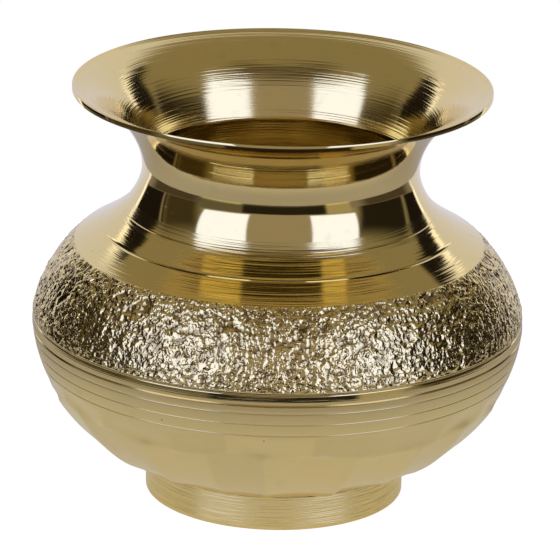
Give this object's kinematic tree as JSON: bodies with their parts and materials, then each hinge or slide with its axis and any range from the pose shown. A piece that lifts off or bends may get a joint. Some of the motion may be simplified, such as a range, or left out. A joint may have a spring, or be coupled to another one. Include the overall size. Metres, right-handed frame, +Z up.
{
  "type": "kalash pot",
  "caption": "Open brass water pot with a flared mouth, a narrow neck, a hammered shoulder band, a round planished bowl and a low ring foot.",
  "frame": {"origin": "centre of the foot's resting face", "axes": "+Z up along the pot's axis, from the foot to the mouth; X and Y are equal, because the pot is round"},
  "size_m": [0.1482, 0.1482, 0.127],
  "materials": {
    "polished_brass": "mirror polished with fine turning lines",
    "hammered_brass": "polished, with a stippled hammered band",
    "planished_brass": "satin polish over faint hammer facets",
    "satin_brass": "satin",
    "braze_filler": "as flowed, dull"
  },
  "bodies": {
    "root": {"mouth_collar": "polished_brass", "neck_seam_braze": "braze_filler", "shoulder_shell": "hammered_brass", "belly_seam_braze": "braze_filler", "lower_bowl": "planished_brass", "foot_braze": "braze_filler", "foot_ring": "satin_brass"}
  },
  "joints": []
}
